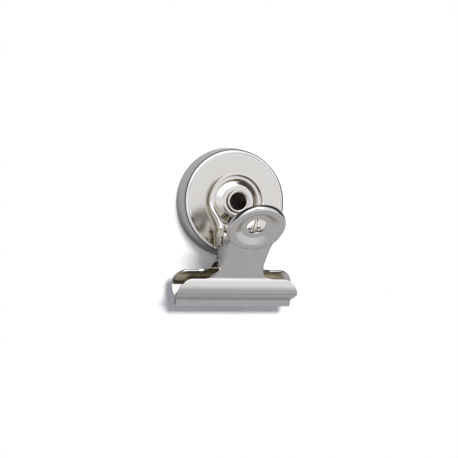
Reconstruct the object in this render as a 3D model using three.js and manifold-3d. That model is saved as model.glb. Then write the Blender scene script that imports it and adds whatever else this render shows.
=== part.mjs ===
// Magnetic letter clip: two stamped spring-steel levers on a pin, the rear one riveted to a cup magnet.
// Millimetres, +Z up, front towards -Y. The origin is the centre of the magnet's back face,
// which lies against the board in the plane y = 0.
import * as THREE from "three";
import { mergeVertices } from "three/addons/utils/BufferGeometryUtils.js";
import Module from "manifold-3d";

const wasm = await Module();
wasm.setup();

// Driving dimensions
const sheet = 0.7; // thickness of both stamped levers
const seatGap = 0.3; // between faces that rest on each other

const cupRadius = 17.5; // at the open back
const cupTaper = 0.8; // the wall draws in by this much towards the front
const cupHeight = 6.3;
const cupWall = 1.3;
const cupCorner = 1.3; // rounding between wall and front

const magnetClearance = 0.3; // potting gap round the ring magnet
const magnetBoreRadius = 5;

const rivetBoreRadius = 2.4;
const rivetTube = 0.4;
const rivetHeadRadius = 3.6;
const rivetTailRadius = 3.9;
const rivetFlange = 0.45; // thickness of the rolled ends
const rivetFit = 0.3; // shank to hole, all round

const clipTilt = THREE.MathUtils.degToRad(23.5); // mid-plane leans away from the board
const leverAngle = clipTilt; // so the rear lever lies parallel to the magnet's front

const jawHalf = 20;
const lipHalf = 19.2;
const lipGap = 0.3; // between the closed lips
const lipHeight = 2.4;
const creaseAlong = 5.5; // first crease, measured up from the lip edge
const creaseOut = 3.75; // and out from the mid-plane
const waistAlong = 10.5; // second crease, where jaw and lever meet
const waistOut = 2.2;
const crownBow = 0.62; // how far the jaw's crown bulges past the straight line
const jawCorner = 5; // rounding of the wings' upper corners
const shoulderStart = 11.2; // across, where the fillets to the neck leave the wings' top edges
const rearWingRise = 1; // the rear crown is taller by this much

const frontNeckHalf = 7.2;
const discRadius = 9.05;
const discRise = 8.04; // disc centre, above the ears
const discHoleRadius = rivetBoreRadius + rivetTube + rivetFit;
const plateauRadius = 5.1;
const plateauDepth = 1.2; // below the lever's outer face
const crestHeight = 0.5; // annulus above the lever's outer face
const crestInner = 7.1;
const crestOuter = 8.3;
const rimDepth = 1.5; // free edge of the rim, below the outer face
const bendShift = 0.25; // how far the cone's inner face lies outside its outer one
const discInset = 0.1; // the dished part ends just inside the outline
const wallStart = 3.2; // from the wings' top edge to where the side walls begin

const pivotAlong = 22.1; // pin axis, up the mid-plane from the lip edge
const earRadius = 4.2;
const earMargin = 0.4; // straight neck left above the ears
const earShoulder = 32; // degrees round the pivot where the wall's upper edge meets the ear
const pinRadius = 0.9;
const pinFit = 0.3; // pin to ear hole, all round
const pinHeadRadius = 1.6;
const pinHead = 0.7;
const pinHeadChamfer = 0.35;

const wire = 0.9; // diameter of the spring wire
const coilRadius = 2.2; // to the wire's centre line
const coilPitch = 1.45;
const coilTurns = 5;
const stepsPerTurn = 8;
const wireSides = 5;

const roundSteps = 64;
const smallSteps = 32;
const joinDepth = 0.05; // how far shapes that become one body run into each other
const pastEnd = 1; // how far a cutting shape runs past what it cuts

// Derived places
const rearNeckHalf = frontNeckHalf - sheet - seatGap;
const lipOut = lipGap / 2 + sheet;
const waist = new THREE.Vector2(waistOut, waistAlong);
const pivotReach = (pivotAlong - waistAlong) * Math.cos(leverAngle) - waistOut * Math.sin(leverAngle);
const pivotDepth = (pivotAlong - waistAlong) * Math.sin(leverAngle) + waistOut * Math.cos(leverAngle);
const flareStart = pivotReach + earRadius + earMargin; // from here the neck widens to the disc
const discReach = flareStart + discRise; // waist to disc centre, along the lever
const cupFrontRadius = cupRadius - cupTaper;
const cupFaceRadius = cupFrontRadius - cupCorner; // flat of the front
const cupBoreRadius = discHoleRadius;
const leverFace = cupHeight + seatGap + crestHeight; // rear lever's outer face, out from the board
const lipY = -(leverFace - waistAlong * Math.sin(clipTilt) + waistOut * Math.cos(clipTilt));
const lipZ = -(waistAlong * Math.cos(clipTilt) + waistOut * Math.sin(clipTilt) + discReach);

// Solids

function solidOf(geometry) {
  const bare = geometry.clone();
  bare.deleteAttribute("normal");
  bare.deleteAttribute("uv");
  const merged = mergeVertices(bare, 1e-4);
  return new wasm.Manifold(
    new wasm.Mesh({
      numProp: 3,
      vertProperties: merged.attributes.position.array,
      triVerts: new Uint32Array(merged.index.array),
    }),
  );
}

function geometryOf(solid) {
  const mesh = solid.getMesh();
  const geometry = new THREE.BufferGeometry();
  geometry.setAttribute("position", new THREE.BufferAttribute(mesh.vertProperties, 3));
  geometry.setIndex(new THREE.BufferAttribute(mesh.triVerts, 1));
  return geometry;
}

// A prism of a plane shape: flat in XY and rising from z = from to z = to.
function prism(shape, from, to) {
  const geometry = new THREE.ExtrudeGeometry(shape, { depth: to - from, bevelEnabled: false });
  return geometry.translate(0, 0, from);
}

// The same prism with the shape standing in YZ and its depth running along X.
function sidePrism(shape, from, to) {
  const turn = new THREE.Matrix4().makeBasis(
    new THREE.Vector3(0, 1, 0),
    new THREE.Vector3(0, 0, 1),
    new THREE.Vector3(1, 0, 0),
  );
  return prism(shape, from, to).applyMatrix4(turn);
}

// A body of revolution about Z from a closed profile of [radius, height] pairs.
function turned(profile, steps) {
  const points = [...profile, profile[0]].map(([r, h]) => new THREE.Vector2(r, h));
  return new THREE.LatheGeometry(points, steps).rotateX(Math.PI / 2);
}

// Points on an arc, both ends included; angles in degrees.
function arc(cx, cy, radius, from, to, steps) {
  return Array.from({ length: steps + 1 }, (_, i) => {
    const angle = THREE.MathUtils.degToRad(from + ((to - from) * i) / steps);
    return [cx + radius * Math.cos(angle), cy + radius * Math.sin(angle)];
  });
}

function shapeOf(points) {
  return new THREE.Shape(points.map(([x, y]) => new THREE.Vector2(x, y)));
}

// Where the tangent from a point touches a circle; side is +1 or -1.
function tangentPoint(point, centre, radius, side) {
  const reach = new THREE.Vector2().subVectors(point, centre);
  const angle = reach.angle() + side * Math.acos(radius / reach.length());
  return new THREE.Vector2(Math.cos(angle), Math.sin(angle)).multiplyScalar(radius).add(centre);
}

// Magnet: a drawn steel cup with the ring magnet potted in it, flush at the back.

function magnetCup() {
  const cornerY = cupHeight - cupCorner;
  const innerFront = cupFrontRadius - cupWall;
  const profile = [
    [cupRadius - cupWall, 0],
    [cupRadius, 0],
    [cupFrontRadius, cornerY],
    ...arc(cupFaceRadius, cornerY, cupFrontRadius - cupFaceRadius, 30, 90, 3),
    [cupBoreRadius, cupHeight],
    [cupBoreRadius, cupHeight - cupWall],
    [innerFront, cupHeight - cupWall],
  ];
  return turned(profile, roundSteps).rotateX(Math.PI / 2);
}

function ringMagnet() {
  const outer = cupFrontRadius - cupWall - magnetClearance;
  const front = cupHeight - cupWall - magnetClearance;
  const profile = [
    [magnetBoreRadius, 0],
    [outer, 0],
    [outer, front],
    [magnetBoreRadius, front],
  ];
  return turned(profile, roundSteps).rotateX(Math.PI / 2);
}

// The hollow rivet holds the rear disc's plateau to the cup and lets the clip swivel on the magnet.
function hollowRivet() {
  const shank = rivetBoreRadius + rivetTube;
  const plateauFront = leverFace + plateauDepth + sheet;
  const headBack = plateauFront + seatGap;
  const tailFront = cupHeight - cupWall - seatGap;
  const profile = [
    [rivetBoreRadius, tailFront - rivetFlange],
    [rivetTailRadius, tailFront - rivetFlange],
    [rivetTailRadius, tailFront],
    [shank, tailFront],
    [shank, headBack],
    [rivetHeadRadius, headBack],
    [rivetHeadRadius, headBack + rivetFlange / 2],
    [rivetHeadRadius - rivetFlange / 2, headBack + rivetFlange],
    [rivetBoreRadius, headBack + rivetFlange],
  ];
  return turned(profile, smallSteps).rotateX(Math.PI / 2);
}

// Lever. The jaw is drawn in the clip's frame, where Z runs up the mid-plane from the lip edge and
// -Y is out from it. The arm above the waist is drawn in the lever's own frame, where X is across,
// Y runs up the arm from the waist and Z is out, with the arm's outer face at z = 0.

const leverFrame = new THREE.Matrix4()
  .makeBasis(
    new THREE.Vector3(1, 0, 0),
    new THREE.Vector3(0, -Math.sin(leverAngle), Math.cos(leverAngle)),
    new THREE.Vector3(0, -Math.cos(leverAngle), -Math.sin(leverAngle)),
  )
  .setPosition(0, -waistOut, waistAlong);

// The sheet's outer face seen from the side, as [out, along] pairs from the lip edge to the disc.
// The crown runs up to the arm's foot.
function sheetFace(foot) {
  const armRun = new THREE.Vector2(Math.sin(leverAngle), Math.cos(leverAngle));
  const crease = new THREE.Vector2(creaseOut, creaseAlong);
  const top = waist.clone().addScaledVector(armRun, foot);
  const run = new THREE.Vector2().subVectors(top, crease).normalize();
  const bulge = new THREE.Vector2(run.y, -run.x).multiplyScalar(2 * crownBow);
  const control = crease.clone().lerp(top, 0.5).add(bulge);
  const crown = new THREE.QuadraticBezierCurve(crease, control, top).getPoints(8);
  const end = waist.clone().addScaledVector(armRun, discReach + discRadius + pastEnd).toArray();
  return [[lipOut, 0], [lipOut, lipHeight], ...crown.map((p) => [p.x, p.y]), end];
}

// A path given the sheet's thickness towards the mid-plane, corners mitred.
function thickened(path) {
  const points = path.map(([x, y]) => new THREE.Vector2(x, y));
  const normals = points.slice(1).map((p, i) => {
    const run = new THREE.Vector2().subVectors(p, points[i]).normalize();
    return new THREE.Vector2(-run.y, run.x);
  });
  const inner = points.map((p, i) => {
    const before = normals[Math.max(i - 1, 0)];
    const after = normals[Math.min(i, normals.length - 1)];
    const mitre = new THREE.Vector2().addVectors(before, after).normalize();
    return p.clone().addScaledVector(mitre, sheet / mitre.dot(after));
  });
  return [...path, ...inner.reverse().map((p) => [p.x, p.y])];
}

// Both sides of a symmetrical outline from its right-hand points, bottom to top.
function mirrored(right) {
  const left = right.filter(([x]) => x > 1e-6).map(([x, y]) => [-x, y]);
  return shapeOf([...right, ...left.reverse()]);
}

// Front view of the jaw: lips a little narrower than the crown, wings with round upper corners.
function jawOutline(wingRise) {
  return mirrored([
    [lipHalf, -1],
    [lipHalf, lipHeight],
    [jawHalf, (lipHeight + creaseAlong) / 2],
    ...arc(jawHalf - jawCorner, waistAlong + wingRise - jawCorner, jawCorner, 0, 90, 8),
  ]);
}

// Front view of the arm: shoulder fillets, straight neck, then tangents to the disc.
function armOutline(neckHalf, foot, inset) {
  const half = neckHalf - inset;
  const radius = discRadius - inset;
  const fillet = shoulderStart - neckHalf;
  const touch = tangentPoint(new THREE.Vector2(half, flareStart), new THREE.Vector2(0, discReach), radius, 1);
  const touchAngle = THREE.MathUtils.radToDeg(Math.atan2(touch.y - discReach, touch.x));
  return mirrored([
    [half + fillet, -sheet],
    ...arc(half + fillet, foot + fillet - joinDepth, fillet, 270, 180, 6),
    [half, flareStart],
    ...arc(0, discReach, radius, touchAngle, 90, 16),
  ]);
}

// Side view of the walls: round ears at the pivot, falling to the rim's depth round the disc.
function wallOutline(foot) {
  const root = -sheet / 2;
  const start = foot + wallStart;
  const pivot = new THREE.Vector2(pivotReach, -pivotDepth);
  const lower = tangentPoint(new THREE.Vector2(start, root), pivot, earRadius, 1);
  const lowerAngle = THREE.MathUtils.radToDeg(Math.atan2(lower.y - pivot.y, lower.x - pivot.x));
  const end = discReach + discRadius + pastEnd;
  return shapeOf([
    [end, root],
    [end, -rimDepth],
    [discReach, -rimDepth],
    ...arc(pivot.x, pivot.y, earRadius, earShoulder, lowerAngle, 16),
    [start, root],
  ]);
}

// Dished finger disc: a sunk plateau with its hole, a cone, a proud crest and the start of the rim.
function fingerDisc() {
  const edge = discRadius - discInset;
  const bend = edge - crestOuter;
  const profile = [
    [discHoleRadius, -plateauDepth - sheet],
    [plateauRadius + bendShift, -plateauDepth - sheet],
    [crestInner + bendShift, crestHeight - sheet],
    [crestOuter - discInset, crestHeight - sheet],
    [edge, -sheet / 2],
    ...arc(crestOuter, crestHeight - bend, bend, 0, 90, 3),
    [crestInner, crestHeight],
    [plateauRadius, -plateauDepth],
    [discHoleRadius, -plateauDepth],
  ];
  return turned(profile, roundSteps).translate(0, discReach, 0);
}

function lever(neckHalf, wingRise) {
  const foot = wingRise / Math.cos(leverAngle); // where the arm leaves the crown
  const deep = pivotDepth + earRadius + pastEnd;
  const onArm = (geometry) => solidOf(geometry.applyMatrix4(leverFrame));

  const side = thickened(sheetFace(foot)).map(([out, along]) => [-out, along]);
  const bent = solidOf(sidePrism(shapeOf(side), -jawHalf - pastEnd, jawHalf + pastEnd));
  const between = onArm(prism(armOutline(neckHalf, foot, sheet), -deep - pastEnd, crestHeight));
  const walls = onArm(sidePrism(wallOutline(foot), -jawHalf, jawHalf)).subtract(between);

  const jawBounds = solidOf(prism(jawOutline(wingRise), 0, deep).rotateX(Math.PI / 2));
  const armBounds = onArm(prism(armOutline(neckHalf, foot, 0), -deep, crestHeight));
  const blank = bent.add(walls).intersect(jawBounds.add(armBounds));

  const seatRadius = discRadius - sheet - discInset;
  const discSeat = new THREE.CylinderGeometry(seatRadius, seatRadius, 4 * sheet, roundSteps);
  const pinHole = new THREE.CylinderGeometry(pinRadius + pinFit, pinRadius + pinFit, 2 * jawHalf, smallSteps);
  const body = blank
    .subtract(onArm(discSeat.rotateX(Math.PI / 2).translate(0, discReach, 0)))
    .add(onArm(fingerDisc()))
    .subtract(onArm(pinHole.rotateZ(Math.PI / 2).translate(0, pivotReach, -pivotDepth)));
  return geometryOf(body);
}

// Pin through all four ears, its ends riveted over; drawn about the pivot, along X.
function pivotPin() {
  const headBack = frontNeckHalf + seatGap;
  const end = headBack + pinHead;
  const half = [
    [pinRadius, headBack],
    [pinHeadRadius, headBack],
    [pinHeadRadius, end - pinHeadChamfer],
    [pinHeadRadius - pinHeadChamfer, end],
    [0, end],
  ];
  const mirroredHalf = half.map(([r, x]) => [r, -x]).reverse();
  const points = [...mirroredHalf, ...half].map(([r, x]) => new THREE.Vector2(r, x));
  return new THREE.LatheGeometry(points, smallSteps).rotateZ(-Math.PI / 2);
}

// Torsion spring round the pin. Each end runs straight to the inside of its lever and meets it
// square; between them the wire winds evenly along the pin.
function springPath() {
  const openAngle = 2 * leverAngle;
  const turn = 2 * Math.PI * coilTurns + openAngle;
  const steps = Math.round((turn / (2 * Math.PI)) * stepsPerTurn);
  const length = (coilPitch * turn) / (2 * Math.PI);
  const startAngle = Math.PI / 2 - leverAngle;
  const coil = Array.from({ length: steps + 1 }, (_, i) => {
    const angle = startAngle + (turn * i) / steps;
    const radial = new THREE.Vector3(0, Math.cos(angle), Math.sin(angle));
    const x = -length / 2 + (length * i) / steps;
    return { radial, point: radial.clone().multiplyScalar(coilRadius).setX(x) };
  });
  const legLength = pivotDepth - sheet - seatGap;
  const leg = (end, towards) => {
    const along = new THREE.Vector3(0, -end.radial.z, end.radial.y).multiplyScalar(towards);
    return [legLength / 2, legLength - wire, legLength].map((reach) => ({
      radial: end.radial,
      point: end.point.clone().addScaledVector(along, reach),
    }));
  };
  return [...leg(coil[0], -1).reverse(), ...coil, ...leg(coil[steps], 1)];
}

function torsionSpring() {
  const path = springPath();
  const positions = [];
  const indices = [];
  path.forEach(({ radial, point }, i) => {
    const before = path[Math.max(i - 1, 0)].point;
    const after = path[Math.min(i + 1, path.length - 1)].point;
    const run = new THREE.Vector3().subVectors(after, before).normalize();
    const across = new THREE.Vector3().crossVectors(run, radial).normalize();
    for (let k = 0; k < wireSides; k += 1) {
      const angle = (2 * Math.PI * k) / wireSides;
      const corner = point
        .clone()
        .addScaledVector(radial, (wire / 2) * Math.cos(angle))
        .addScaledVector(across, (wire / 2) * Math.sin(angle));
      positions.push(corner.x, corner.y, corner.z);
    }
  });
  const last = (path.length - 1) * wireSides;
  for (let ring = 0; ring < last; ring += wireSides) {
    for (let k = 0; k < wireSides; k += 1) {
      const next = (k + 1) % wireSides;
      indices.push(ring + k, ring + next, ring + wireSides + next);
      indices.push(ring + k, ring + wireSides + next, ring + wireSides + k);
    }
  }
  for (let k = 1; k < wireSides - 1; k += 1) {
    indices.push(0, k + 1, k);
    indices.push(last, last + k, last + k + 1);
  }
  const geometry = new THREE.BufferGeometry();
  geometry.setAttribute("position", new THREE.Float32BufferAttribute(positions, 3));
  geometry.setIndex(indices);
  return geometry;
}

// Least gap between turns of the spring, measured on points of its centre line that lie at
// least half a turn apart along the wire.
function springGap() {
  const points = springPath().map((p) => p.point);
  const curve = new THREE.CatmullRomCurve3(points, false, "centripetal").getPoints(1200);
  const apart = Math.round(1200 / (2 * coilTurns + 2));
  let least = Infinity;
  for (let i = 0; i < curve.length; i += 1) {
    for (let j = i + apart; j < curve.length; j += 1) {
      least = Math.min(least, curve[i].distanceTo(curve[j]));
    }
  }
  return least - wire;
}

console.log(`torsion spring: least gap to itself ${springGap().toFixed(2)} mm`);

// Assembly

function part(name, geometry, color, roughness, metalness) {
  const flat = geometry.index ? geometry.toNonIndexed() : geometry;
  flat.computeVertexNormals();
  const mesh = new THREE.Mesh(flat, new THREE.MeshStandardMaterial({ color, roughness, metalness }));
  mesh.name = name;
  return mesh;
}

const nickel = "#c9c8c2";
const satinNickel = "#b9b9b6";

const clip = new THREE.Group();
clip.position.set(0, lipY, lipZ);
clip.rotation.x = clipTilt;

const frontLever = part("front_lever", lever(frontNeckHalf, 0), satinNickel, 0.35, 1);
const rearLever = part("rear_lever", lever(rearNeckHalf, rearWingRise), satinNickel, 0.3, 1);
rearLever.rotation.z = Math.PI;

const pin = part("pivot_pin", pivotPin(), "#8f8d88", 0.4, 1);
const spring = part("torsion_spring", torsionSpring(), "#a5a29b", 0.3, 1);
for (const onPivot of [pin, spring]) {
  onPivot.position.z = pivotAlong;
}
clip.add(frontLever, rearLever, pin, spring);

const clipOnMagnet = new THREE.Group();
clipOnMagnet.name = "magnetic_letter_clip";
clipOnMagnet.add(
  part("magnet_cup", magnetCup(), nickel, 0.15, 1),
  part("ring_magnet", ringMagnet(), "#3a3836", 0.7, 0),
  part("hollow_rivet", hollowRivet(), nickel, 0.2, 1),
  clip,
);

export default clipOnMagnet;
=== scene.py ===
# Magnetic letter clip: nickel-plated spring clip riveted to a round pot magnet, on a white board.
# Metres throughout. The board is the plane y = 0 and the clip stands out from it towards -Y.
import math

import bpy
from mathutils import Matrix, Vector


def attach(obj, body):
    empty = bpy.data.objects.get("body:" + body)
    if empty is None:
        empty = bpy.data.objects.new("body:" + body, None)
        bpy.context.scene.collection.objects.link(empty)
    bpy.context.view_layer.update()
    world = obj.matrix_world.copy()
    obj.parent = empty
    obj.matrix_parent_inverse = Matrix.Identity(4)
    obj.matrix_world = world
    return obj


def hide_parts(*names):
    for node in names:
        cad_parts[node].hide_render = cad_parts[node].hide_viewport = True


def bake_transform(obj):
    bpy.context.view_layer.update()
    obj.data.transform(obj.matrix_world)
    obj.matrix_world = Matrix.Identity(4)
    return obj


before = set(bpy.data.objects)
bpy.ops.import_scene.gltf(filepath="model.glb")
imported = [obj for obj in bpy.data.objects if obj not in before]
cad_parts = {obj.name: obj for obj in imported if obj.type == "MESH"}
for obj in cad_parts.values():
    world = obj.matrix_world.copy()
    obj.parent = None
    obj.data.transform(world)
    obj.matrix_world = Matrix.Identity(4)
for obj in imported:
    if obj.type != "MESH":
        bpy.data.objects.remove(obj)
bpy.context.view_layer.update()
bpy.ops.object.select_all(action="DESELECT")

mm = 0.001

sheetMetal = {
    "thickness": 0.7,
    "edgeRounding": 0.17,  # burr taken off by tumbling before plating
    "edgeAngle": 50,  # degrees, edges sharper than this are rounded
    "weld": 0.004,  # points of two patches closer than this are one
    "sliver": 0.002,
}

clipFrame = {
    "tilt": 23.5,  # degrees, the jaws' mid-plane from the board
    "leverAngle": 23.5,  # each lever from the mid-plane
    "lipEdge": (0, -4.9307, -32.9070),  # where the closed lips end, mm
    "pivotAlong": 22.1,
}


def toLinear(hexColour):
    channels = [int(hexColour[i:i + 2], 16) / 255 for i in (1, 3, 5)]
    linear = [c / 12.92 if c <= 0.04045 else ((c + 0.055) / 1.055) ** 2.4 for c in channels]
    return (*linear, 1.0)


def smoothStep(value, low, high):
    t = min(max((value - low) / (high - low), 0), 1)
    return t * t * (3 - 2 * t)


def softCorner(before, corner, after, steps):
    # points of the rounded corner between two points, both included
    points = []
    for i in range(steps + 1):
        t = i / steps
        points.append(before * (1 - t) ** 2 + corner * 2 * t * (1 - t) + after * t * t)
    return points


def roundedPath(corners, cut, steps):
    # a path through the corners, each inner one rounded from cut mm before it to cut mm after it
    path = [corners[0]]
    for before, corner, after, size in zip(corners, corners[1:], corners[2:], cut):
        start = corner + (before - corner).normalized() * size
        end = corner + (after - corner).normalized() * size
        path += softCorner(start, corner, end, steps)
    return path + [corners[-1]]


def fromClip(across, out, along, side):
    # clip coordinates in mm to metres; side is 1 for the front lever and -1 for the rear one
    tilt = math.radians(clipFrame["tilt"])
    x, y = side * across, -side * out
    _, lipY, lipZ = clipFrame["lipEdge"]
    return Vector((
        x,
        lipY + y * math.cos(tilt) - along * math.sin(tilt),
        lipZ + y * math.sin(tilt) + along * math.cos(tilt),
    )) * mm


def roundedCorner(pairs, steps):
    # the rounded corner of a turned profile, from three (radius, height) pairs
    return [(p.x, p.y) for p in softCorner(*(Vector(pair) for pair in pairs), steps)]


def shifted(pairs, radius, height):
    # (radius, height) pairs measured from a point of a turned profile
    return [(radius + r, height + h) for r, h in pairs]


def sheetPatch(columns, rows, place):
    # a grid whose crossing points are each moved to their place on the sheet
    bpy.ops.mesh.primitive_grid_add(x_subdivisions=columns, y_subdivisions=rows, size=1)
    patch = bpy.context.object
    for vertex in patch.data.vertices:
        column = round((vertex.co.x + 0.5) * columns)
        row = round((vertex.co.y + 0.5) * rows)
        vertex.co = place(column, row)
    return patch


def joinPatches(patches, name):
    bpy.ops.object.select_all(action="DESELECT")
    for patch in patches:
        patch.select_set(True)
    bpy.context.view_layer.objects.active = patches[0]
    bpy.ops.object.join()
    piece = bpy.context.object
    piece.name = piece.data.name = name
    bpy.ops.object.mode_set(mode="EDIT")
    bpy.ops.mesh.select_all(action="SELECT")
    bpy.ops.mesh.remove_doubles(threshold=sheetMetal["weld"] * mm)
    bpy.ops.mesh.dissolve_degenerate(threshold=sheetMetal["sliver"] * mm)
    bpy.ops.mesh.normals_make_consistent(inside=False)
    bpy.ops.object.mode_set(mode="OBJECT")
    return piece


def addModifier(piece, kind, **settings):
    modifier = piece.modifiers.new(kind.title(), kind)
    for key, value in settings.items():
        setattr(modifier, key, value)
    bpy.context.view_layer.objects.active = piece
    bpy.ops.object.modifier_apply(modifier=modifier.name)


def shadeSmooth(piece, degrees):
    bpy.ops.object.select_all(action="DESELECT")
    piece.select_set(True)
    bpy.context.view_layer.objects.active = piece
    bpy.ops.object.shade_smooth_by_angle(angle=math.radians(degrees))
    bpy.ops.object.select_all(action="DESELECT")


def turnedPiece(name, profile, steps, axis="Y", closed=True, weld=0.002):
    # a ring is drawn out from step to step along the profile of (radius, height) pairs in mm
    along = Vector((0, -1, 0)) if axis == "Y" else Vector((1, 0, 0))
    flat = (math.pi / 2, 0, 0) if axis == "Y" else (0, math.pi / 2, 0)
    radius, height = profile[0]
    bpy.ops.mesh.primitive_circle_add(
        vertices=steps, radius=radius * mm, location=along * height * mm, rotation=flat)
    piece = bpy.context.object
    piece.name = piece.data.name = name
    bpy.ops.object.transform_apply(location=True, rotation=True, scale=True)
    bpy.ops.object.mode_set(mode="EDIT")
    bpy.ops.mesh.select_mode(type="VERT")
    bpy.ops.mesh.select_all(action="SELECT")
    for nextRadius, nextHeight in profile[1:]:
        grow = nextRadius / radius
        scale = (grow, 1, grow) if axis == "Y" else (1, grow, grow)
        bpy.ops.mesh.extrude_edges_move(
            TRANSFORM_OT_translate={"value": along * (nextHeight - height) * mm})
        bpy.ops.transform.resize(value=scale, center_override=(0, 0, 0))
        radius, height = nextRadius, nextHeight
    bpy.ops.mesh.select_all(action="SELECT")
    bpy.ops.mesh.remove_doubles(threshold=weld * mm)
    if not closed:
        bpy.ops.mesh.select_all(action="DESELECT")
        bpy.ops.mesh.select_non_manifold()
        bpy.ops.mesh.fill_holes(sides=0)
    bpy.ops.mesh.select_all(action="SELECT")
    bpy.ops.mesh.normals_make_consistent(inside=False)
    bpy.ops.object.mode_set(mode="OBJECT")
    return piece


def arcPoints(centreR, centreH, radius, start, end, steps):
    # (radius, height) pairs of an arc in a turned profile, its angles in degrees
    points = []
    for i in range(steps + 1):
        angle = math.radians(start + (end - start) * i / steps)
        points.append((centreR + radius * math.cos(angle), centreH + radius * math.sin(angle)))
    return points


def addNode(tree, kind, settings=None, links=None):
    # settings are socket values or node properties; links are socket: (node, output)
    node = tree.nodes.new(kind)
    for key, value in (settings or {}).items():
        if isinstance(key, int) or key in node.inputs:
            node.inputs[key].default_value = value
        else:
            setattr(node, key, value)
    for key, (source, output) in (links or {}).items():
        tree.links.new(source.outputs[output], node.inputs[key])
    return node


def newMaterial(name):
    material = bpy.data.materials.new(name)
    material.use_nodes = True
    material.node_tree.nodes.clear()
    return material, material.node_tree


def nearAxis(tree, place, axis, through, within, beyond):
    # 1 within some mm of a line along one axis through a point, 0 beyond
    across = tuple(0 if name == axis else 1 for name in "XYZ")
    offset = addNode(tree, "ShaderNodeVectorMath", {"operation": "SUBTRACT", 1: through},
                     {0: (place, "Object")})
    flat = addNode(tree, "ShaderNodeVectorMath", {"operation": "MULTIPLY", 1: across},
                   {0: (offset, "Vector")})
    away = addNode(tree, "ShaderNodeVectorMath", {"operation": "LENGTH"}, {0: (flat, "Vector")})
    return addNode(tree, "ShaderNodeMapRange",
                   {"interpolation_type": "SMOOTHSTEP",
                    "From Min": within * mm, "From Max": beyond * mm,
                    "To Min": 1.0, "To Max": 0.0}, {"Value": (away, "Value")})


def platedSteel(name, finish):
    # nickel over steel: warm grey mirror, dulled by a fine satin grain and by handling, with bands of
    # painted shade and painted highlight round an axis where listed
    material, tree = newMaterial(name)
    place = addNode(tree, "ShaderNodeTexCoord")
    grain = addNode(tree, "ShaderNodeTexNoise",
                    {"Scale": 1 / (finish["grain"] * mm), "Detail": 3.0, "Roughness": 0.6},
                    {"Vector": (place, "Object")})
    clouds = addNode(tree, "ShaderNodeTexNoise",
                     {"Scale": 1 / (finish["cloud"] * mm), "Detail": 2.0, "Roughness": 0.5},
                     {"Vector": (place, "Object")})
    dulling = addNode(tree, "ShaderNodeMapRange",
                      {"From Min": 0.3, "From Max": 0.7,
                       "To Min": finish["roughness"][0], "To Max": finish["roughness"][1]},
                      {"Value": (clouds, "Fac")})
    tint = addNode(tree, "ShaderNodeMix",
                   {"data_type": "RGBA",
                    "A": toLinear(finish["colour"]), "B": toLinear(finish["shade"])},
                   {"Factor": (clouds, "Fac")})
    # each band sets colour and roughness near an axis: painted shade, painted highlight or a worn dull
    # patch
    for axis, through, within, beyond, colour, dull in finish.get("paintedLightAndWear", ()):
        mask = nearAxis(tree, place, axis, through, within, beyond)
        tint = addNode(tree, "ShaderNodeMix", {"data_type": "RGBA", "B": toLinear(colour)},
                       {"Factor": (mask, "Result"), "A": (tint, "Result")})
        dulling = addNode(tree, "ShaderNodeMix", {"data_type": "FLOAT", "B": dull},
                          {"Factor": (mask, "Result"), "A": (dulling, "Result")})
    relief = addNode(tree, "ShaderNodeBump",
                     {"Strength": finish["relief"], "Distance": 0.01 * mm},
                     {"Height": (grain, "Fac")})
    shader = addNode(tree, "ShaderNodeBsdfPrincipled", {"Metallic": 1.0},
                     {"Base Color": (tint, "Result"), "Roughness": (dulling, "Result"),
                      "Normal": (relief, "Normal")})
    addNode(tree, "ShaderNodeOutputMaterial", None, {"Surface": (shader, "BSDF")})
    return material


satinNickel = platedSteel("satinNickelSpringSteel", {
    "colour": "#d6d0c4", "shade": "#cdc6b9", "grain": 0.15, "cloud": 6,
    "roughness": (0.1, 0.15), "relief": 0.4,
    # a fine dark line is painted along each bend: painted shade in the crease
    "paintedLightAndWear": [("X", fromClip(0, out, along, side), 0.05, 0.17, "#868690", 0.3)
             for side in (1, -1) for out, along in ((0.85, 2.4), (3.75, 5.5))]})
brightNickelCup = platedSteel("brightNickelDrawnCup", {
    "colour": "#d0c9bb", "shade": "#c9c1b3", "grain": 0.3, "cloud": 8,
    "roughness": (0.05, 0.08), "relief": 0.22,
    # a dark line is painted round the shoulder, a painted reflection; inside it the drawn ring is
    # painted brighter, a painted highlight, and the flat face is brushed by use
    "paintedLightAndWear": [("Y", (0, 0, 0), 16.55, 16.65, "#4c4a48", 0.25),
             ("Y", (0, 0, 0), 16.25, 16.35, "#dcd6cb", 0.06),
             ("Y", (0, 0, 0), 14.9, 15.25, "#d0c9bc", 0.17)]})
brightNickelRivet = platedSteel("brightNickelRolledRivet", {
    "colour": "#d6d0c3", "shade": "#ccc5b7", "grain": 0.2, "cloud": 2,
    "roughness": (0.1, 0.16), "relief": 0.12,
    # down the bore the surface is painted a darker brown: painted shade in the hollow
    "paintedLightAndWear": [("Y", (0, 0, 0), 2.42, 2.55, "#8c6c56", 0.45)]})
drawnPinSteel = platedSteel("drawnPinSteel", {
    "colour": "#cac5bb", "shade": "#b7b1a6", "grain": 0.1, "cloud": 1.5,
    "roughness": (0.18, 0.28), "relief": 0.3})
springWireSteel = platedSteel("drawnSpringWire", {
    "colour": "#bdb7ac", "shade": "#a29c90", "grain": 0.1, "cloud": 1,
    "roughness": (0.18, 0.28), "relief": 0.3})


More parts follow.
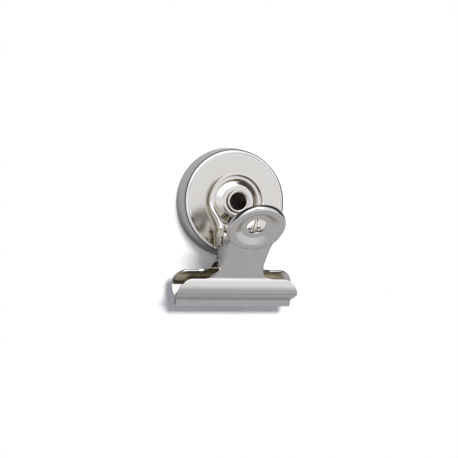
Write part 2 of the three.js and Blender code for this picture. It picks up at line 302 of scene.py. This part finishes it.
def groundFerrite():
    # barium ferrite ceramic, pressed and ground flat: dull charcoal with a faint sparkle of grains
    material, tree = newMaterial("groundFerriteCeramic")
    place = addNode(tree, "ShaderNodeTexCoord")
    specks = addNode(tree, "ShaderNodeTexNoise", {"Scale": 1 / (0.25 * mm), "Detail": 4.0},
                     {"Vector": (place, "Object")})
    tint = addNode(tree, "ShaderNodeMix",
                   {"data_type": "RGBA", "A": toLinear("#2b2a2a"), "B": toLinear("#454240")},
                   {"Factor": (specks, "Fac")})
    relief = addNode(tree, "ShaderNodeBump", {"Strength": 0.4, "Distance": 0.02 * mm},
                     {"Height": (specks, "Fac")})
    shader = addNode(tree, "ShaderNodeBsdfPrincipled", {"Roughness": 0.6},
                     {"Base Color": (tint, "Result"), "Normal": (relief, "Normal")})
    addNode(tree, "ShaderNodeOutputMaterial", None, {"Surface": (shader, "BSDF")})
    return material


def finishPiece(piece, node, body, material, smoothAngle=32):
    shadeSmooth(piece, smoothAngle)
    piece.data.materials.clear()
    piece.data.materials.append(material)
    if body:
        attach(piece, body)
    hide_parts(node)
    print("made", piece.name, len(piece.data.polygons), "faces")


cup = {
    "backRadius": 17.5, "frontRadius": 16.7, "faceRadius": 15.55, "height": 6.3, "wall": 1.3,
    "bore": 3.1, "boreEdge": 0.1, "faceDrop": 0.04, "faceMiddle": 10.0, "steps": 128,
    # (radius, height) pairs from the back edge, the front edge and the edge of the flat face
    "backRim": ((-0.3, 0), (0, 0), (-0.05, 0.3)),
    "shoulder": ((0.08, -1.2), (-0.02, -0.42), (-0.4, -0.34)),
    "ringCrest": ((0.3, -0.04), (0.15, 0), (0, -0.05)),
    "groove": ((-0.1, -0.2), (-0.22, -0.05), (-0.6, -0.04)),
}
cupFace = cup["height"] - cup["faceDrop"]
cupProfile = [
    (cup["backRadius"] - cup["wall"], 0.0),
    *roundedCorner(shifted(cup["backRim"], cup["backRadius"], 0), 4),
    *roundedCorner(shifted(cup["shoulder"], cup["frontRadius"], cup["height"]), 9),
    *roundedCorner(shifted(cup["ringCrest"], cup["faceRadius"], cup["height"]), 3),
    *shifted(cup["groove"], cup["faceRadius"], cup["height"]),
    (cup["faceMiddle"], cupFace),
    (cup["bore"] + cup["boreEdge"], cupFace),
    (cup["bore"], cupFace - cup["boreEdge"]),
    (cup["bore"], cup["height"] - cup["wall"]),
    (cup["frontRadius"] - cup["wall"], cup["height"] - cup["wall"]),
]
magnetCup = turnedPiece("magnetCup", cupProfile + [cupProfile[0]], cup["steps"])
finishPiece(magnetCup, "magnet_cup", "magnet", brightNickelCup)

ring = {"bore": 5.0, "outer": 14.9, "front": 4.7, "chamfer": 0.25, "steps": 96}
ringProfile = [
    (ring["bore"], ring["chamfer"]),
    (ring["bore"] + ring["chamfer"], 0.0),
    (ring["outer"] - ring["chamfer"], 0.0),
    (ring["outer"], ring["chamfer"]),
    (ring["outer"], ring["front"]),
    (ring["bore"], ring["front"]),
]
ringMagnet = turnedPiece("ringMagnet", ringProfile + [ringProfile[0]], ring["steps"])
finishPiece(ringMagnet, "ring_magnet", "magnet", groundFerrite())

rivet = {
    "bore": 2.4, "shank": 2.8, "head": 3.6, "tail": 3.9, "tailFlat": 3.7, "flange": 0.45,
    "flangeEdge": 0.22, "edgeArc": (-80, 80, 6), "headBack": 9.3, "tailFront": 4.7, "steps": 64,
    # (radius, height) pairs from the bore's back edge and from the bore in the plane of the head
    "tailRoll": ((0, 0.3), (0, 0), (0.4, 0)),
    "mouth": ((0.9, 0), (0.4, 0), (0.22, -0.55)),
    "throat": ((0.22, -0.55), (0, -0.85), (0, -1.5)),
    "throatEnd": 2.2,
}
headTop = rivet["headBack"] + rivet["flange"]
tailBack = rivet["tailFront"] - rivet["flange"]


def flangeEdge(outer, back):
    edge = rivet["flangeEdge"]
    return arcPoints(outer - edge, back + edge, edge, *rivet["edgeArc"])


rivetProfile = [
    *roundedCorner(shifted(rivet["tailRoll"], rivet["bore"], tailBack), 5),
    (rivet["tailFlat"], tailBack),
    *flangeEdge(rivet["tail"], tailBack),
    (rivet["shank"], rivet["tailFront"]),
    (rivet["shank"], rivet["headBack"]),
    *flangeEdge(rivet["head"], rivet["headBack"]),
    *roundedCorner(shifted(rivet["mouth"], rivet["bore"], headTop), 6),
    *roundedCorner(shifted(rivet["throat"], rivet["bore"], headTop), 6)[1:],
    (rivet["bore"], headTop - rivet["throatEnd"]),
]
hollowRivet = turnedPiece("hollowRivet", rivetProfile + [rivetProfile[0]], rivet["steps"])
finishPiece(hollowRivet, "hollow_rivet", "magnet", brightNickelRivet, smoothAngle=40)

lever = {
    # side profile in clip coordinates, (out, along) pairs, and how far its bends reach
    "lipOut": 0.85, "lipHeight": 2.4, "crease": (3.75, 5.5), "waist": (2.2, 10.5), "crownBow": 0.62,
    "lipBend": 0.25, "creaseBend": 0.35, "waistBend": 0.35, "bandRow": 1.6, "crownRows": 12,
    # half widths
    "jawHalf": 20.0, "lipHalf": 19.2, "lipGrowth": 0.3, "jawCorner": 5.0,
    # outline of the arm and its disc
    "shoulderStart": 11.2, "flareStart": 14.36, "flareBlend": 2.6, "discRadius": 9.15, "discReach": 22.4,
    # the dish in the disc: radii and heights from the arm's face
    "hole": 3.1, "plateau": 4.9, "plateauDepth": 1.1, "step": (5.1, -0.95), "crestInner": 7.0,
    "crestOuter": 7.85, "crestEnd": 8.3, "crestFall": 0.75, "crestHeight": 0.5,
    "dishRounding": (0.1, 0.12, 0.35), "dishSteps": 4, "apronRows": 4,
    # the folded walls: ears on the neck, a rim round the disc
    "foldRadius": 1.4, "rimRadius": 1.15, "rimFrom": 11, "rimDepth": 1.5, "wallStart": 3.2,
    "foldOnset": (-0.5, 1.3), "bendAllowance": 0.571,  # sheet that a fold takes up, in fold radii
    "pivotReach": 9.7605, "pivotDepth": 6.643, "earRadius": 4.2, "earTop": 392, "earGap": 0.4,
    "earCrowding": 1.5, "pinHole": 1.2, "drillSteps": 48, "drillLength": 2.2,  # in neck half widths
    "flatColumns": 12, "foldColumns": 5, "wallColumns": 3, "wingColumns": 6,
    "filletRows": 8, "tangentRows": 6, "earRows": 22, "flareRows": 8, "rimColumns": 44,
}
pivotPoint = fromClip(0, 0, clipFrame["pivotAlong"], 1)
leastRowGap = 0.02  # mm between two rows of the sheet
leastTurn = 0.001  # radians, a fold that has barely begun


def buildLever(name, neckHalf, side, wingRise):
    # one stamping as four grids that meet edge to edge: jaw, neck with ears, dish and rim; lengths in mm
    angle = math.radians(clipFrame["leverAngle"])
    waistAt = wingRise / math.cos(angle)  # where the arm leaves the crown
    foot = waistAt - lever["waistBend"]
    filletEnd = waistAt + lever["shoulderStart"] - neckHalf
    filletReach = filletEnd - foot
    wallStart = waistAt + lever["wallStart"]
    armRun = Vector((math.sin(angle), math.cos(angle)))
    armStart = Vector(lever["waist"])
    waist = armStart + armRun * waistAt
    armOut = Vector((math.cos(angle), -math.sin(angle)))
    crease = Vector(lever["crease"])
    run = (waist - crease).normalized()
    control = crease.lerp(waist, 0.5) + Vector((run.y, -run.x)) * 2 * lever["crownBow"]
    crownLength = (waist - crease).length
    startT, endT = lever["creaseBend"] / crownLength, 1 - lever["waistBend"] / crownLength

    def crownPoint(t):
        return crease * (1 - t) ** 2 + control * 2 * t * (1 - t) + waist * t * t

    def armFace(s):
        # the sheet's outer face in side view, s mm up the arm
        bend = lever["waistBend"]
        if s >= waistAt + bend:
            return armStart + armRun * s
        start, end = crownPoint(endT), waist + armRun * bend
        t = (s - foot) / (2 * bend)
        return start * (1 - t) ** 2 + waist * 2 * t * (1 - t) + end * t * t

    # side profile of the jaw, from the lip edge to the wings' top edge
    lipTop = Vector((lever["lipOut"], lever["lipHeight"]))
    rise = (crease - lipTop).normalized()
    crownEnd = crownPoint(endT)
    topAlong = crownEnd.y
    cornerStart = topAlong - lever["jawCorner"]
    lipBend = lever["lipBend"]
    profile = [Vector((lever["lipOut"], 0)), Vector((lever["lipOut"], lever["lipHeight"] / 2))]
    profile += softCorner(lipTop - Vector((0, lipBend)), lipTop, lipTop + rise * lipBend, 4)
    profile += [lipTop + rise * lever["bandRow"]]
    profile += softCorner(crease - rise * lever["creaseBend"], crease, crownPoint(startT), 5)
    for i in range(1, lever["crownRows"] + 1):
        # rows crowd towards the top, where the wings' corners turn
        wanted = cornerStart + lever["jawCorner"] * math.sin(math.radians(90 * i / lever["crownRows"]))
        low, high = startT, endT
        for _ in range(40):  # halvings, to find that height on the bow
            middle = (low + high) / 2
            low, high = (middle, high) if crownPoint(middle).y < wanted else (low, middle)
        point = crownPoint(low)
        if profile[-1].y + leastRowGap < point.y < topAlong - leastRowGap:
            profile.append(point)
    profile.append(crownEnd)

    def jawHalfAt(along):
        grow = (lever["crease"][1] - lever["lipHeight"]) / 2
        half = lever["lipHalf"] + (lever["jawHalf"] - lever["lipHalf"]) * smoothStep(
            along, lever["lipHeight"] - lever["lipGrowth"], lever["lipHeight"] + grow)
        past = along - cornerStart
        if past > 0:
            turn = math.sqrt(max(lever["jawCorner"] ** 2 - past ** 2, 0))
            half = min(half, lever["jawHalf"] - lever["jawCorner"] + turn)
        return half

    # the arm: a point at (across, up the arm, out of its face)
    def armPoint(x, s, z):
        point = armFace(s) + armOut * z
        return fromClip(x, point.x, point.y, side)

    # outline of the arm: straight neck, soft flare, tangent to the disc
    centre = Vector((0, lever["discReach"]))
    flare = Vector((neckHalf, lever["flareStart"]))
    toFlare = flare - centre
    touchAngle = math.atan2(toFlare.y, toFlare.x) + math.acos(lever["discRadius"] / toFlare.length)
    touch = centre + Vector((math.cos(touchAngle), math.sin(touchAngle))) * lever["discRadius"]
    flareRun = (touch - flare).normalized()
    blend = lever["flareBlend"]
    blendEnd = flare + flareRun * blend

    def outlineAt(s):
        # half width at s and the outward normal there
        start = lever["flareStart"] - blend
        if s <= start:
            rest = max(filletEnd - s, 0)
            extra = filletReach - math.sqrt(max(filletReach ** 2 - rest ** 2, 0))
            return Vector((neckHalf + extra, s)), Vector((1, 0))
        if s < blendEnd.y:
            a, b, c = blend * (flareRun.y - 1), 2 * blend, start - s
            t = -2 * c / (b + math.sqrt(b * b - 4 * a * c))
            point = Vector((neckHalf + t * t * blend * flareRun.x, s))
            tangent = Vector((t * flareRun.x, 1 + t * (flareRun.y - 1))).normalized()
        else:
            point = flare + flareRun * ((s - flare.y) / flareRun.y)
            tangent = flareRun
        return point, Vector((tangent.y, -tangent.x))

    def foldRadiusAt(s):
        share = smoothStep(s, lever["rimFrom"], touch.y)
        return lever["foldRadius"] + (lever["rimRadius"] - lever["foldRadius"]) * share

    def faceHeight(x, s):
        # the dish is drawn proud of the arm and falls back to it beyond its crest
        away = math.hypot(x, s - lever["discReach"])
        crestEnd = lever["crestEnd"]
        return lever["crestHeight"] * (1 - smoothStep(away, crestEnd, crestEnd + lever["crestFall"]))

    # stations up one side: (outline point, normal, fold radius, edge place along the arm, edge depth)
    pivot = Vector((lever["pivotReach"], -lever["pivotDepth"]))
    root = Vector((wallStart, -sheetMetal["thickness"] / 2))
    toRoot = root - pivot
    touchEar = math.atan2(toRoot.y, toRoot.x) + math.acos(lever["earRadius"] / toRoot.length)
    earStart = math.degrees(touchEar) % 360
    earFoot = pivot + Vector((math.cos(touchEar), math.sin(touchEar))) * lever["earRadius"]
    stations = []

    def addStation(s, edgeS, depth):
        point, normal = outlineAt(s)
        stations.append((point, normal, foldRadiusAt(s), edgeS, depth))

    straightEnd = max(earFoot.x, filletEnd + lever["earGap"])  # on the fold, level with the ear's foot

    def addTangentStation(s):
        share = (s - root.x) / (straightEnd - root.x)
        edge = root.lerp(earFoot, share)
        addStation(s, edge.x if share > 0 else s, -edge.y if share > 0 else 0)

    for i in range(lever["filletRows"] + 1):
        turn = math.radians(90 * i / lever["filletRows"])
        addTangentStation(foot + filletReach * (1 - math.cos(turn)))
    lastFillet = stations[-1][0].y
    for i in range(1, lever["tangentRows"] + 1):
        addTangentStation(lastFillet + (straightEnd - lastFillet) * i / lever["tangentRows"])
    topTurn = math.radians(lever["earTop"])
    earTopPoint = pivot + Vector((math.cos(topTurn), math.sin(topTurn))) * lever["earRadius"]
    for i in range(1, lever["earRows"] + 1):
        t = i / lever["earRows"]
        earAngle = math.radians(earStart + (lever["earTop"] - earStart) * t)
        edge = pivot + Vector((math.cos(earAngle), math.sin(earAngle))) * lever["earRadius"]
        # rows crowd towards the ear's foot, so that none crosses the next where the ear turns back
        s = straightEnd + (earTopPoint.x - straightEnd) * t ** lever["earCrowding"]
        addStation(s, edge.x, -edge.y)
    neckRows = len(stations) - 1
    neckTop = stations[-1][0].y
    for i in range(1, lever["flareRows"] + 1):
        s = neckTop + (touch.y - neckTop) * i / lever["flareRows"]
        along = (s - earTopPoint.x) / (lever["discReach"] - earTopPoint.x)
        addStation(s, s, -earTopPoint.y + (lever["rimDepth"] + earTopPoint.y) * min(along, 1))
    arcStart = math.degrees(math.atan2(touch.y - centre.y, touch.x))
    arcRows = lever["rimColumns"] // 2
    for i in range(1, arcRows + 1):
        turn = math.radians(arcStart + (90 - arcStart) * i / arcRows)
        normal = Vector((math.cos(turn), math.sin(turn)))
        point = centre + normal * lever["discRadius"]
        along = min(max((point.y - earTopPoint.x) / (lever["discReach"] - earTopPoint.x), 0), 1)
        depth = -earTopPoint.y + (lever["rimDepth"] + earTopPoint.y) * along
        stations.append((point, normal, lever["rimRadius"], point.y, depth))

    folds, walls = lever["foldColumns"], lever["wallColumns"]

    def flangePoint(station, step, mirror):
        # step 0 is on the flat face, then round the fold and down the wall to its free edge
        point, normal, radius, edgeS, depth = station
        inner = neckHalf - lever["foldRadius"]
        base = point - normal * radius if point.y > lastFillet else Vector((inner, point.y))
        height = faceHeight(base.x, base.y)
        early, late = lever["foldOnset"]
        turn = math.radians(90) * smoothStep(point.y, wallStart + early, wallStart + late)
        turn = max(turn, leastTurn)
        bendLength = radius * math.pi / 2
        reach = point.x - base.x if point.y <= lastFillet else radius
        length = max(reach, depth + height + lever["bendAllowance"] * radius)
        bent = min(bendLength, length)
        bendRadius = bendLength / turn
        far = bent * step / folds if step <= folds else bent + (length - bent) * (step - folds) / walls
        if far <= bendLength:
            spread = bendRadius * math.sin(far / bendRadius)
            drop = bendRadius * (1 - math.cos(far / bendRadius))
        else:
            spread = bendRadius * math.sin(turn) + (far - bendLength) * math.cos(turn)
            drop = bendRadius * (1 - math.cos(turn)) + (far - bendLength) * math.sin(turn)
        shift = (edgeS - point.y) * max(step - folds, 0) / walls
        place = base + normal * spread
        return armPoint(mirror * place.x, place.y + shift, height - drop)

    flat = lever["flatColumns"]
    edgeSteps = folds + walls

    def neckPoint(column, row):
        station = stations[row]
        if column < edgeSteps:
            return flangePoint(station, edgeSteps - column, -1)
        if column > edgeSteps + flat:
            return flangePoint(station, column - edgeSteps - flat, 1)
        left, right = flangePoint(station, 0, -1), flangePoint(station, 0, 1)
        return left.lerp(right, (column - edgeSteps) / flat)

    neckColumns = flat + 2 * edgeSteps
    wings = lever["wingColumns"]
    topHalf = jawHalfAt(topAlong)
    footHalf = abs(stations[0][0].x)
    footShare = [side * neckPoint(column, 0).x / mm / topHalf for column in range(neckColumns + 1)]
    outerShare = footHalf / topHalf
    shares = [-1 + (1 - outerShare) * i / wings for i in range(wings)]
    shares += footShare + [outerShare + (1 - outerShare) * (i + 1) / wings for i in range(wings)]

    def jawPoint(column, row):
        point = profile[row]
        if row == len(profile) - 1 and wings <= column <= wings + neckColumns:
            return neckPoint(column - wings, 0)
        return fromClip(shares[column] * jawHalfAt(point.y), point.x, point.y, side)

    # dish: rings on rays from the disc's centre to the outline of the flat face
    rimStations = stations[neckRows:]
    rimRight = [(station, 1) for station in rimStations]
    rimLeft = [(station, -1) for station in reversed(rimStations[:-1])]
    rim = rimRight + rimLeft

    def rimBase(index):
        (point, normal, radius, _, _), mirror = rim[index]
        base = point - normal * radius
        return Vector((mirror * base.x, base.y))

    loop = [rimBase(i) for i in range(len(rim))]
    loop += [loop[-1].lerp(loop[0], (i + 1) / flat) for i in range(flat)]
    dish = roundedPath(
        [Vector((lever["hole"], -lever["plateauDepth"])),
         Vector((lever["plateau"], -lever["plateauDepth"])),
         Vector(lever["step"]),
         Vector((lever["crestInner"], lever["crestHeight"])),
         Vector((lever["crestOuter"], lever["crestHeight"]))],
        lever["dishRounding"], lever["dishSteps"])
    aprons = lever["apronRows"]

    def dishPoint(column, row):
        target = loop[column]
        ray = (target - centre).normalized()
        if row < len(dish):
            place = centre + ray * dish[row].x
            return armPoint(place.x, place.y, dish[row].y)
        edge = centre + ray * lever["crestOuter"]
        place = edge.lerp(target, ((row - len(dish) + 1) / aprons))
        return armPoint(place.x, place.y, faceHeight(place.x, place.y))

    def rimPoint(column, row):
        station, mirror = rim[column]
        return flangePoint(station, row, mirror)

    patches = [
        sheetPatch(len(shares) - 1, len(profile) - 1, jawPoint),
        sheetPatch(neckColumns, neckRows, neckPoint),
        sheetPatch(len(loop) - 1, len(dish) - 1 + aprons, dishPoint),
        sheetPatch(len(rim) - 1, edgeSteps, rimPoint),
    ]
    piece = joinPatches(patches, name)

    # the plated face points away from the other lever
    outward = fromClip(0, 1, 0, side) - fromClip(0, 0, 0, side)
    lipFace = min(piece.data.polygons, key=lambda f: f.center.z)
    if lipFace.normal.dot(outward) < 0:
        bpy.ops.object.mode_set(mode="EDIT")
        bpy.ops.mesh.select_all(action="SELECT")
        bpy.ops.mesh.flip_normals()
        bpy.ops.object.mode_set(mode="OBJECT")
    addModifier(piece, "SOLIDIFY", thickness=sheetMetal["thickness"] * mm, offset=-1,
                use_even_offset=True)

    # the pin's holes are drilled through both ears at once
    bpy.ops.mesh.primitive_cylinder_add(
        vertices=lever["drillSteps"], radius=lever["pinHole"] * mm,
        depth=lever["drillLength"] * neckHalf * mm, location=pivotPoint, rotation=(0, math.pi / 2, 0))
    drill = bpy.context.object
    addModifier(piece, "BOOLEAN", object=drill, operation="DIFFERENCE", solver="EXACT")
    bpy.data.objects.remove(drill)
    addModifier(piece, "BEVEL", width=sheetMetal["edgeRounding"] * mm, segments=2,
                limit_method="ANGLE", angle_limit=math.radians(sheetMetal["edgeAngle"]))
    return piece


frontLever = buildLever("frontLever", neckHalf=7.2, side=1, wingRise=0)
finishPiece(frontLever, "front_lever", "front", satinNickel)
rearLever = buildLever("rearLever", neckHalf=6.2, side=-1, wingRise=1)  # slips between the front's ears
finishPiece(rearLever, "rear_lever", "clip", satinNickel)

pin = {
    "radius": 0.9, "head": 1.6, "headBack": 7.5, "end": 8.2, "steps": 40,
    # the riveted end, (radius, reach) pairs from the head's radius at the pin's end
    "dome": ((-0.12, -0.7), (0, -0.58), (0, -0.45), (-0.08, -0.28), (-0.3, -0.12), (-0.7, -0.03),
             (-1.25, 0), (-1.58, 0)),
}
half = [(pin["radius"], pin["headBack"]), *shifted(pin["dome"], pin["head"], pin["end"])]
pinProfile = [(r, -x) for r, x in reversed(half)] + half
pivotPin = turnedPiece("pivotPin", pinProfile, pin["steps"], axis="X", closed=False)
for vertex in pivotPin.data.vertices:
    vertex.co += pivotPoint
finishPiece(pivotPin, "pivot_pin", "clip", drawnPinSteel, smoothAngle=40)

spring = {
    "wire": 0.9, "coilRadius": 2.2, "pitch": 1.45, "turns": 5, "stepsPerTurn": 28, "sides": 12,
    "legReach": 5.643, "legSteps": (0.25, 0.5, 0.75, 1), "weld": 0.001,
}


def springPath():
    # the legs leave the coil along its tangents, one up each lever
    leverAngle = math.radians(clipFrame["leverAngle"])
    turn = 2 * math.pi * spring["turns"] + 2 * leverAngle
    steps = round(turn / (2 * math.pi) * spring["stepsPerTurn"])
    length = spring["pitch"] * turn / (2 * math.pi)
    coil = []
    for i in range(steps + 1):
        angle = math.pi / 2 - leverAngle + turn * i / steps
        radial = Vector((0, math.cos(angle), math.sin(angle)))
        across = Vector((length * (i / steps - 0.5), 0, 0))
        coil.append((radial, radial * spring["coilRadius"] + across))

    def leg(end, towards):
        radial, point = end
        along = Vector((0, -radial.z, radial.y)) * towards
        return [(radial, point + along * spring["legReach"] * share) for share in spring["legSteps"]]

    path = leg(coil[0], -1)[::-1] + coil + leg(coil[-1], 1)
    tilt = Matrix.Rotation(math.radians(clipFrame["tilt"]), 3, "X")
    return [tilt @ point * mm + pivotPoint for _, point in path]


def springTube():
    bpy.ops.curve.primitive_nurbs_path_add()
    wire = bpy.context.object
    wire.name = "torsionSpring"
    wire.data.splines.clear()
    points = springPath()
    spline = wire.data.splines.new("POLY")
    spline.points.add(len(points) - 1)
    for control, point in zip(spline.points, points):
        control.co = (*point, 1)
    wire.data.dimensions = "3D"
    wire.data.bevel_depth = spring["wire"] / 2 * mm
    wire.data.bevel_resolution = spring["sides"] // 2 - 1
    wire.data.use_fill_caps = True
    bpy.ops.object.select_all(action="DESELECT")
    wire.select_set(True)
    bpy.context.view_layer.objects.active = wire
    bpy.ops.object.convert(target="MESH")
    piece = bpy.context.object
    piece.data.name = "torsionSpring"
    bpy.ops.object.mode_set(mode="EDIT")
    bpy.ops.mesh.select_all(action="SELECT")
    bpy.ops.mesh.remove_doubles(threshold=spring["weld"] * mm)
    bpy.ops.mesh.normals_make_consistent(inside=False)
    bpy.ops.object.mode_set(mode="OBJECT")
    return piece


torsionSpring = springTube()
finishPiece(torsionSpring, "torsion_spring", None, springWireSteel, smoothAngle=50)
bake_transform(torsionSpring)

studio = {
    "boardSize": 0.11, "boardBehind": 0.0003, "boardDrop": 0.0085,
    "boardInMetal": (0.95, 1.0, 1.14, 1.0), "boardSeen": 2.4,
    # painted shade on the board behind the magnet's bore
    "paintedBoardShade": 0.6, "paintedShadeWithin": (0.006, 0.012),  # behind the bore of the magnet
    "keyPlace": (0.15, -0.72, 0.27), "keyAim": (0, -0.01, -0.01), "keySize": (0.3, 0.2),
    "keyPower": 2.7, "keyTint": "#fffdf8",
    "fill": 0.15, "fillTint": "#eef1ff", "glossTint": (1.07, 1.125, 1.28, 1.0),
    # brightness that polished metal sees, and the directions between which it changes
    "front": 1.02, "below": 0.52, "belowToFront": (-0.6, -0.15),
    "strip": 0.75, "stripRise": (0.2, 0.5), "stripEnd": (0.15, 0.5),
    "dark": 0.05, "darkRise": (-0.35, -0.05), "darkTurn": (-0.2, -0.1), "darkLean": 0.25,
    "behind": 0.68, "behindTurn": (0.4, 0.65),
    "cameraFrom": (-0.13, -0.95, 0.28), "cameraSpread": (0.14, 0.22), "cameraShade": 0.08,
}


def boardPaper():
    # matt white board; it shows only its face, so that the part can be seen from behind
    material, tree = newMaterial("mattWhiteBoard")
    facing = addNode(tree, "ShaderNodeNewGeometry")
    rays = addNode(tree, "ShaderNodeLightPath")
    place = addNode(tree, "ShaderNodeTexCoord")
    # the board is painted darker behind the magnet's bore: painted shade where the magnet covers it
    near, far = studio["paintedShadeWithin"]
    away = addNode(tree, "ShaderNodeVectorMath",
                   {"operation": "DISTANCE", 1: (0, studio["boardDrop"], 0)}, {0: (place, "Object")})
    seen = addNode(tree, "ShaderNodeMapRange",
                   {"From Min": near, "From Max": far, "To Min": studio["paintedBoardShade"],
                    "To Max": studio["boardSeen"]}, {"Value": (away, "Value")})
    paper = addNode(tree, "ShaderNodeBsdfDiffuse", {"Color": studio["boardInMetal"]})
    seenPaper = addNode(tree, "ShaderNodeBsdfDiffuse", None, {"Color": (seen, "Result")})
    clear = addNode(tree, "ShaderNodeBsdfTransparent")
    front = addNode(tree, "ShaderNodeMixShader", None, {0: (rays, "Is Camera Ray")})
    tree.links.new(paper.outputs["BSDF"], front.inputs[1])
    tree.links.new(seenPaper.outputs["BSDF"], front.inputs[2])
    both = addNode(tree, "ShaderNodeMixShader", None, {0: (facing, "Backfacing")})
    tree.links.new(front.outputs["Shader"], both.inputs[1])
    tree.links.new(clear.outputs["BSDF"], both.inputs[2])
    addNode(tree, "ShaderNodeOutputMaterial", None, {"Surface": (both, "Shader")})
    return material


bpy.ops.mesh.primitive_plane_add(
    size=studio["boardSize"], location=(0, studio["boardBehind"], -studio["boardDrop"]),
    rotation=(math.pi / 2, 0, 0))
board = bpy.context.object
board.name = "board"
board.data.materials.append(boardPaper())
board.visible_diffuse = False
board.visible_shadow = False


def areaLamp(name, place, aim, size, power, colour):
    # it lights matt things only: metal sees the bright world instead
    bpy.ops.object.light_add(type="AREA", location=place)
    lamp = bpy.context.object
    lamp.name = name
    lamp.data.shape = "RECTANGLE"
    lamp.data.size, lamp.data.size_y = size
    lamp.data.energy = power
    lamp.data.color = toLinear(colour)[:3]
    lamp.rotation_mode = "QUATERNION"
    lamp.rotation_quaternion = (Vector(aim) - Vector(place)).to_track_quat("-Z", "Y")
    lamp.visible_glossy = False
    return lamp


areaLamp("keySoftbox", studio["keyPlace"], studio["keyAim"], studio["keySize"], studio["keyPower"],
         studio["keyTint"])


def softStudio():
    # white to the eye; polished metal sees a bright front that greys towards the table, a brighter
    # strip high up on the left, a dark gap between the front and the board, and a dark camera
    world = bpy.data.worlds.new("softStudio")
    world.use_nodes = True
    tree = world.node_tree
    tree.nodes.clear()

    def ramp(source, output, low, high, atLow, atHigh, kind="LINEAR"):
        return addNode(tree, "ShaderNodeMapRange",
                       {"interpolation_type": kind, "From Min": low, "From Max": high,
                        "To Min": atLow, "To Max": atHigh}, {"Value": (source, output)})

    def combine(operation, first, second):
        node = addNode(tree, "ShaderNodeMath", {"operation": operation})
        for socket, (source, output) in zip(node.inputs, (first, second)):
            tree.links.new(source.outputs[output], socket)
        return node

    towards = addNode(tree, "ShaderNodeTexCoord")
    parts = addNode(tree, "ShaderNodeSeparateXYZ", None, {"Vector": (towards, "Generated")})
    wall = ramp(parts, "Z", *studio["belowToFront"], studio["below"], studio["front"])
    aloft = ramp(parts, "Z", *studio["darkRise"], 0.0, 1.0, "SMOOTHSTEP")
    high = ramp(parts, "Z", *studio["stripRise"], 0.0, studio["strip"], "SMOOTHSTEP")
    leftward = ramp(parts, "X", *studio["stripEnd"], 1.0, 0.0, "SMOOTHSTEP")
    strip = combine("MULTIPLY", (high, "Result"), (leftward, "Result"))
    level = combine("ADD", (wall, "Result"), (strip, "Value"))
    sideways = addNode(tree, "ShaderNodeMath", {"operation": "ABSOLUTE"}, {0: (parts, "X")})
    turned = addNode(tree, "ShaderNodeMath", {"operation": "MULTIPLY_ADD", 1: studio["darkLean"]},
                     {0: (sideways, "Value")})
    tree.links.new(parts.outputs["Y"], turned.inputs[2])
    edgeOn = ramp(turned, "Value", *studio["darkTurn"], 0.0, 1.0, "SMOOTHSTEP")
    gap = combine("MULTIPLY", (edgeOn, "Result"), (aloft, "Result"))
    front = addNode(tree, "ShaderNodeMix", {"data_type": "FLOAT", "B": studio["dark"]},
                    {"Factor": (gap, "Value"), "A": (level, "Value")})
    camera = addNode(tree, "ShaderNodeVectorMath", {"operation": "DISTANCE", 1: studio["cameraFrom"]},
                     {0: (towards, "Generated")})
    stand = ramp(camera, "Value", *studio["cameraSpread"], studio["cameraShade"], 1.0, "SMOOTHSTEP")
    front = combine("MULTIPLY", (front, "Result"), (stand, "Result"))
    turn = ramp(parts, "Y", *studio["behindTurn"], 0.0, 1.0, "SMOOTHSTEP")
    glossy = addNode(tree, "ShaderNodeMix", {"data_type": "FLOAT", "B": studio["behind"]},
                     {"Factor": (turn, "Result"), "A": (front, "Value")})
    rays = addNode(tree, "ShaderNodeLightPath")
    fill = addNode(tree, "ShaderNodeBackground",
                   {"Color": toLinear(studio["fillTint"]), "Strength": studio["fill"]})
    shine = addNode(tree, "ShaderNodeBackground", {"Color": studio["glossTint"]},
                    {"Strength": (glossy, "Result")})
    white = addNode(tree, "ShaderNodeBackground", {"Color": (1, 1, 1, 1), "Strength": 1.0})
    lit = addNode(tree, "ShaderNodeMixShader", None, {0: (rays, "Is Glossy Ray")})
    tree.links.new(fill.outputs["Background"], lit.inputs[1])
    tree.links.new(shine.outputs["Background"], lit.inputs[2])
    clear = combine("MAXIMUM", (rays, "Is Camera Ray"), (rays, "Is Transmission Ray"))
    whole = addNode(tree, "ShaderNodeMixShader", None, {0: (clear, "Value")})
    tree.links.new(lit.outputs["Shader"], whole.inputs[1])
    tree.links.new(white.outputs["Background"], whole.inputs[2])
    addNode(tree, "ShaderNodeOutputWorld", None, {"Surface": (whole, "Shader")})
    return world


bpy.context.scene.world = softStudio()
print("board and light set")

# camera as in the photograph: from the left, level with the magnet
view = {
    "azimuth": 19.12, "elevation": -0.68, "roll": -0.84, "distance": 602.2,
    "pixelsPerMm": 3.118, "aimRight": 0.141, "aimUp": -8.654, "frame": 458, "sensor": 36,
}
azimuth, elevation, roll = (math.radians(view[k]) for k in ("azimuth", "elevation", "roll"))
back = Vector((-math.sin(azimuth) * math.cos(elevation), -math.cos(azimuth) * math.cos(elevation),
               math.sin(elevation)))
right = Vector((math.cos(azimuth), -math.sin(azimuth), 0))
up = Vector((math.sin(azimuth) * math.sin(elevation), math.cos(azimuth) * math.sin(elevation),
             math.cos(elevation)))
right, up = (right * math.cos(roll) - up * math.sin(roll), right * math.sin(roll) + up * math.cos(roll))
bpy.ops.object.camera_add()
camera = bpy.context.object
place = (back * view["distance"] + right * view["aimRight"] + up * view["aimUp"]) * mm
camera.matrix_world = Matrix((
    (right.x, up.x, back.x, place.x),
    (right.y, up.y, back.y, place.y),
    (right.z, up.z, back.z, place.z),
    (0, 0, 0, 1),
))
camera.data.sensor_width = view["sensor"]
camera.data.lens = view["sensor"] * view["distance"] / (view["frame"] / view["pixelsPerMm"])
bpy.context.scene.camera = camera
bpy.context.scene.view_settings.view_transform = "Standard"
print("camera set")
